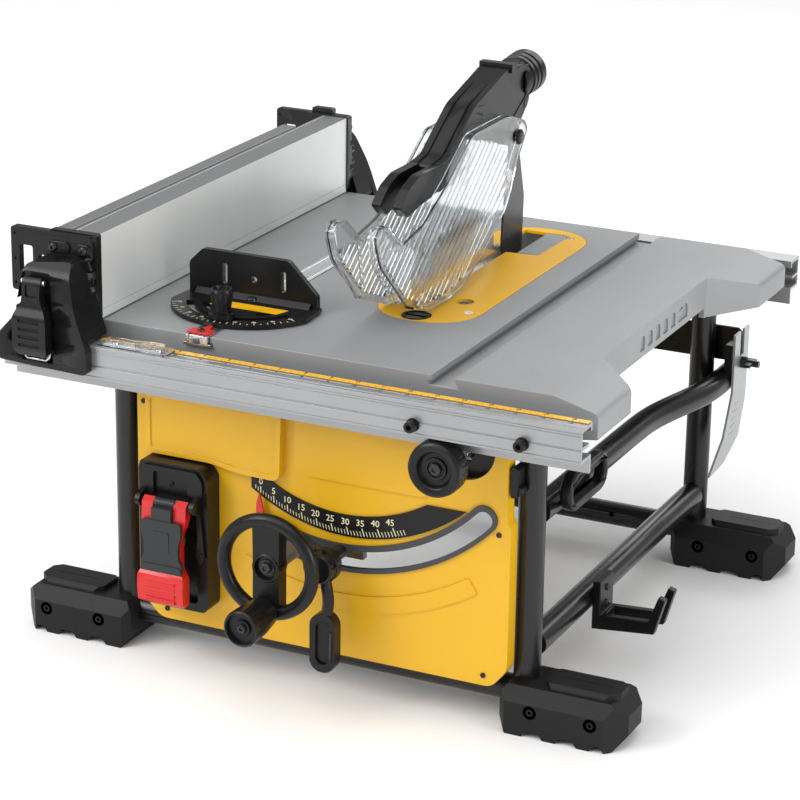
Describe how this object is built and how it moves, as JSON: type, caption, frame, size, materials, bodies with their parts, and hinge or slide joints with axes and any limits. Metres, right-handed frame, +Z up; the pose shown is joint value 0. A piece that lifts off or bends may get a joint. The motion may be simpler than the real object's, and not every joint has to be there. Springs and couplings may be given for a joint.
{
  "type": "table saw",
  "caption": "Compact jobsite table saw with extending rip-fence rails, mitre gauge, clear blade guard, bevel and height drives, and a tube frame on rubber feet.",
  "frame": {"origin": "On the floor under the centre of the object's bounding box.", "axes": "+X to the operator's right, +Y away from the operator, +Z up; the operator stands at -Y."},
  "size_m": [0.624, 0.6564, 0.529],
  "materials": {
    "table_grey": "cast and machined aluminium table with a satin grey coat",
    "yellow_paint": "smooth satin yellow paint",
    "yellow_plastic": "fine-textured moulded yellow plastic",
    "rule_tape": "yellow printed rule tape",
    "aluminium": "fine brushed anodised extrusion",
    "clear_plastic": "clear polycarbonate",
    "steel": "ground bright steel",
    "dark_steel": "blackened steel",
    "grey_steel": "plain grey steel plate",
    "cast_grey": "die-cast grey metal",
    "red_plastic": "smooth red plastic",
    "grey_plastic": "dark grey plastic",
    "green_plastic": "smooth green plastic",
    "powder_black": "semi-gloss black powder coat",
    "foot_rubber": "matt moulded rubber",
    "black_plastic": "fine-textured moulded black plastic"
  },
  "bodies": {
    "base": {"table_top": "table_grey", "throat_plate": "yellow_paint", "front_leg_frame": "powder_black", "rear_leg_frame": "powder_black", "left_low_tube": "powder_black", "left_high_tube": "powder_black", "right_low_tube": "powder_black", "right_high_tube": "powder_black", "front_left_foot": "foot_rubber", "rear_left_foot": "foot_rubber", "front_right_foot": "foot_rubber", "rear_right_foot": "foot_rubber", "front_panel": "yellow_plastic", "bevel_scale": "black_plastic", "rear_cross_plate": "powder_black", "cord_wrap_loop": "black_plastic", "storage_hook": "black_plastic", "storage_clip": "black_plastic", "stored_riving_knife": "grey_steel", "switch_housing": "black_plastic", "rip_cursor": "clear_plastic"},
    "bevel_carriage": {"tilt_bracket": "cast_grey", "bevel_pointer": "red_plastic"},
    "blade_carriage": {"gear_case": "cast_grey", "motor_housing": "black_plastic", "blade_shroud": "black_plastic", "riving_knife": "dark_steel", "guard_spine": "black_plastic"},
    "blade": {"blade_arbor": "steel", "arbor_nut": "steel", "saw_blade": "steel"},
    "height_wheel": {"handwheel": "black_plastic", "handwheel_shaft": "steel"},
    "crank": {"crank_knob": "black_plastic"},
    "height_screw": {"lead_screw": "steel"},
    "lock_lever": {"bevel_lock_lever": "black_plastic"},
    "knife_knob": {"knife_lock_knob": "black_plastic"},
    "right_guard": {"guard_pivot_pin": "black_plastic", "right_guard_shell": "clear_plastic"},
    "left_guard": {"left_guard_shell": "clear_plastic"},
    "rails": {"front_rail": "aluminium", "rear_rail": "aluminium", "rip_ruler": "rule_tape"},
    "rail_pinion": {"pinion_shaft": "steel", "rail_knob": "black_plastic"},
    "rip_fence": {"fence_beam": "aluminium", "fence_work_support": "aluminium", "fence_front_head": "black_plastic", "fence_rear_head": "black_plastic"},
    "front_latch": {"front_latch_lever": "black_plastic"},
    "rear_latch": {"rear_latch_lever": "black_plastic"},
    "mitre_gauge": {"mitre_bar": "steel", "mitre_pointer": "red_plastic"},
    "mitre_protractor": {"mitre_head": "black_plastic"},
    "mitre_clamp": {"mitre_clamp_knob": "black_plastic"},
    "stop_flap": {"switch_flap": "red_plastic", "switch_flap_plate": "grey_plastic"},
    "green_button": {"start_button": "green_plastic"},
    "throat_lock": {"throat_lock_knob": "black_plastic"},
    "wing_bolt": {"storage_wing_bolt": "dark_steel"}
  },
  "joints": [
    {"name": "bevel_tilt", "type": "hinge", "parent": "base", "child": "bevel_carriage", "pos_m": [0.03, -0.23125, 0.334], "axis": [0, -1, 0], "range_deg": [0, 45]},
    {"name": "blade_height", "type": "slide", "parent": "bevel_carriage", "child": "blade_carriage", "axis": [0, 0, 1], "range_m": [-0.065, 0]},
    {"name": "blade_spin", "type": "hinge", "parent": "blade_carriage", "child": "blade", "pos_m": [0.03, 0.04175, 0.294], "axis": [1, 0, 0], "continuous": true},
    {"name": "handwheel_spin", "type": "hinge", "parent": "bevel_carriage", "child": "height_wheel", "pos_m": [-0.008, -0.27625, 0.144], "axis": [0, 1, 0], "range_deg": [-2940, 5]},
    {"name": "crank_spin", "type": "hinge", "parent": "height_wheel", "child": "crank", "pos_m": [-0.008, -0.28425, 0.103], "axis": [0, 1, 0], "continuous": true},
    {"name": "lead_screw_spin", "type": "hinge", "parent": "bevel_carriage", "child": "height_screw", "pos_m": [-0.008, -0.15125, 0.144], "axis": [0, 0, 1], "range_deg": [-2940, 5]},
    {"name": "bevel_lock", "type": "hinge", "parent": "bevel_carriage", "child": "lock_lever", "pos_m": [0.034, -0.23125, 0.144], "axis": [0, -1, 0], "range_deg": [0, 45]},
    {"name": "knife_lock", "type": "hinge", "parent": "blade_carriage", "child": "knife_knob", "pos_m": [0.03, 0.17575, 0.261], "axis": [1, 0, 0], "range_deg": [0, 180]},
    {"name": "right_guard_lift", "type": "hinge", "parent": "blade_carriage", "child": "right_guard", "pos_m": [0.03, 0.12175, 0.458], "axis": [-1, 0, 0], "range_deg": [0, 28]},
    {"name": "left_guard_lift", "type": "hinge", "parent": "right_guard", "child": "left_guard", "pos_m": [0.03, 0.12175, 0.458], "axis": [-1, 0, 0], "range_deg": [0, 21]},
    {"name": "rails_slide", "type": "slide", "parent": "base", "child": "rails", "axis": [1, 0, 0], "range_m": [0, 0.32]},
    {"name": "rail_knob_spin", "type": "hinge", "parent": "base", "child": "rail_pinion", "pos_m": [0.1526, -0.25725, 0.264], "axis": [0, 1, 0], "range_deg": [-5, 1535]},
    {"name": "fence_lift", "type": "slide", "parent": "base", "child": "rip_fence", "axis": [0, 0, 1], "range_m": [0, 0.12]},
    {"name": "front_latch_swing", "type": "hinge", "parent": "rip_fence", "child": "front_latch", "pos_m": [-0.24325, -0.28075, 0.377], "axis": [-1, 0, 0], "range_deg": [0, 75]},
    {"name": "rear_latch_swing", "type": "hinge", "parent": "rip_fence", "child": "rear_latch", "pos_m": [-0.24325, 0.31725, 0.377], "axis": [1, 0, 0], "range_deg": [0, 75]},
    {"name": "mitre_slide", "type": "slide", "parent": "base", "child": "mitre_gauge", "axis": [0, -1, 0], "range_m": [-0.2, 0.15]},
    {"name": "mitre_swing", "type": "hinge", "parent": "mitre_gauge", "child": "mitre_protractor", "pos_m": [-0.1018, -0.13125, 0.334], "axis": [0, 0, 1], "range_deg": [-60, 60]},
    {"name": "mitre_clamp_spin", "type": "hinge", "parent": "mitre_gauge", "child": "mitre_clamp", "pos_m": [-0.1018, -0.18825, 0.334], "axis": [0, 0, 1], "range_deg": [0, 360]},
    {"name": "stop_flap_swing", "type": "hinge", "parent": "base", "child": "stop_flap", "pos_m": [0, -0.24525, 0.172], "axis": [-1, 0, 0], "range_deg": [0, 90]},
    {"name": "start_button_press", "type": "slide", "parent": "base", "child": "green_button", "axis": [0, 1, 0], "range_m": [0, 0.004], "stiffness_N_per_m": 100},
    {"name": "throat_lock_turn", "type": "hinge", "parent": "base", "child": "throat_lock", "pos_m": [0.0451, -0.08475, 0.334], "axis": [0, 0, 1], "range_deg": [0, 90]},
    {"name": "wing_bolt_turn", "type": "hinge", "parent": "base", "child": "wing_bolt", "pos_m": [0.246, 0.26025, 0.217], "axis": [1, 0, 0], "range_deg": [0, 360]}
  ],
  "couplings": [
    {"joint": "handwheel_spin", "follows": "blade_height", "rad_per_m": 785.4},
    {"joint": "lead_screw_spin", "follows": "blade_height", "rad_per_m": 785.4},
    {"joint": "right_guard_lift", "follows": "blade_height", "rad_per_m": -7.25},
    {"joint": "left_guard_lift", "follows": "bevel_tilt", "ratio": 0.4444},
    {"joint": "rail_knob_spin", "follows": "rails_slide", "rad_per_m": 83.333}
  ]
}
